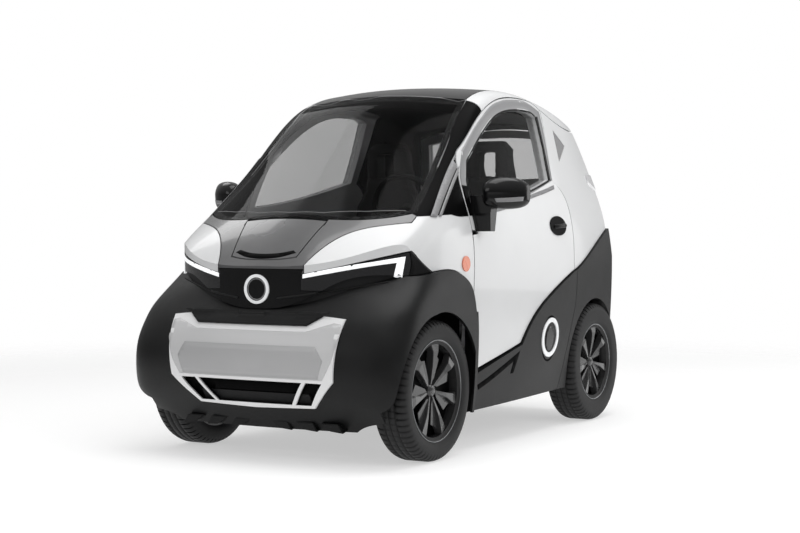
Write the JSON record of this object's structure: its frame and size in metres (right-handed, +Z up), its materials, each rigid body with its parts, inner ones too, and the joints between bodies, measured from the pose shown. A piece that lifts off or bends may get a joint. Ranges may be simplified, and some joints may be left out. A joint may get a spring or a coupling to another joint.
{
  "type": "electric microcar",
  "caption": "Compact two-seat electric city car with a one-box cabin, wraparound dark bumper and arches, slim corner lamps, panoramic windscreen, opening doors, tailgate and bonnet flap.",
  "frame": {"origin": "On the ground under the middle of the car's bounding box.", "axes": "+X is forward, +Y is the car's left and +Z is up."},
  "size_m": [2.3691, 1.604, 1.5878],
  "materials": {
    "white_paint": "gloss",
    "black_plastic": "matte",
    "dark_gloss": "gloss",
    "bonnet_grey": "satin",
    "panel_grey": "satin",
    "screen_glass": "gloss",
    "side_glass": "gloss",
    "tyre": "matte",
    "rim_black": "satin",
    "steel": "satin",
    "frame_black": "satin",
    "lamp_lens": "gloss",
    "amber": "gloss",
    "red": "gloss",
    "ring_white": "gloss",
    "seat_cover": "matte",
    "interior": "matte",
    "battery_case": "satin"
  },
  "bodies": {
    "car": {"wing_left": "white_paint", "wing_right": "white_paint", "quarter_left": "white_paint", "quarter_right": "white_paint", "roof_frame": "white_paint", "front_bumper": "black_plastic", "sill_left": "black_plastic", "sill_right": "black_plastic", "rear_bumper": "black_plastic", "pillar_left": "dark_gloss", "pillar_right": "dark_gloss", "nose_visor": "dark_gloss", "roof_panel": "dark_gloss", "bonnet": "bonnet_grey", "bumper_panel": "panel_grey", "windscreen": "screen_glass", "quarter_glass_left": "side_glass", "quarter_glass_right": "side_glass", "steering_rack": "steel", "rear_axle": "steel", "front_suspension": "steel", "body_frame": "frame_black", "chassis": "frame_black", "headlamp_left": "lamp_lens", "headlamp_right": "lamp_lens", "side_markers": "amber", "tail_lamps": "red", "port_rings": "ring_white", "emblem_ring": "ring_white", "seat_left": "seat_cover", "seat_right": "seat_cover", "floor_pan": "interior", "dashboard": "interior", "steering_column": "interior", "battery": "battery_case"},
    "knuckle_left": {"knuckle_left": "steel"},
    "knuckle_right": {"knuckle_right": "steel"},
    "wheel_front_left": {"tyre_front_left": "tyre", "rim_front_left": "rim_black"},
    "wheel_front_right": {"tyre_front_right": "tyre", "rim_front_right": "rim_black"},
    "wheel_rear_left": {"tyre_rear_left": "tyre", "rim_rear_left": "rim_black"},
    "wheel_rear_right": {"tyre_rear_right": "tyre", "rim_rear_right": "rim_black"},
    "door_left": {"door_left": "white_paint", "door_glass_left": "side_glass", "mirror_left": "dark_gloss", "door_handle_left": "dark_gloss"},
    "door_right": {"door_right": "white_paint", "door_glass_right": "side_glass", "mirror_right": "dark_gloss", "door_handle_right": "dark_gloss"},
    "tailgate": {"tailgate": "white_paint", "rear_glass": "screen_glass"},
    "service_flap": {"service_flap": "bonnet_grey"},
    "steering_wheel": {"steering_wheel": "interior"}
  },
  "joints": [
    {"name": "steer_left", "type": "hinge", "parent": "car", "child": "knuckle_left", "pos_m": [0.7215, 0.5, 0.285], "axis": [0, 0, 1], "range_deg": [-30, 30]},
    {"name": "steer_right", "type": "hinge", "parent": "car", "child": "knuckle_right", "pos_m": [0.7215, -0.5, 0.285], "axis": [0, 0, 1], "range_deg": [-30, 30]},
    {"name": "steering_wheel_turn", "type": "hinge", "parent": "car", "child": "steering_wheel", "pos_m": [0.3545, 0.275, 1.01], "axis": [-0.9063, 0, 0.4226], "range_deg": [-360, 360]},
    {"name": "front_left_roll", "type": "hinge", "parent": "knuckle_left", "child": "wheel_front_left", "pos_m": [0.7215, 0.545, 0.285], "axis": [0, 1, 0], "continuous": true},
    {"name": "front_right_roll", "type": "hinge", "parent": "knuckle_right", "child": "wheel_front_right", "pos_m": [0.7215, -0.545, 0.285], "axis": [0, 1, 0], "continuous": true},
    {"name": "rear_left_roll", "type": "hinge", "parent": "car", "child": "wheel_rear_left", "pos_m": [-0.8885, 0.545, 0.285], "axis": [0, 1, 0], "continuous": true},
    {"name": "rear_right_roll", "type": "hinge", "parent": "car", "child": "wheel_rear_right", "pos_m": [-0.8885, -0.545, 0.285], "axis": [0, 1, 0], "continuous": true},
    {"name": "door_left_hinge", "type": "hinge", "parent": "car", "child": "door_left", "pos_m": [0.3665, 0.6, 0.785], "axis": [0, 0, -1], "range_deg": [0, 60]},
    {"name": "door_right_hinge", "type": "hinge", "parent": "car", "child": "door_right", "pos_m": [0.3665, -0.6, 0.785], "axis": [0, 0, 1], "range_deg": [0, 60]},
    {"name": "tailgate_hinge", "type": "hinge", "parent": "car", "child": "tailgate", "pos_m": [-0.9335, 0, 1.434], "axis": [0, 1, 0], "range_deg": [0, 75]},
    {"name": "flap_hinge", "type": "hinge", "parent": "car", "child": "service_flap", "pos_m": [0.8985, 0, 0.982], "axis": [0, -1, 0], "range_deg": [0, 65]}
  ],
  "couplings": [
    {"joint": "steer_right", "follows": "steer_left", "ratio": 1},
    {"joint": "steering_wheel_turn", "follows": "steer_left", "ratio": 12}
  ]
}
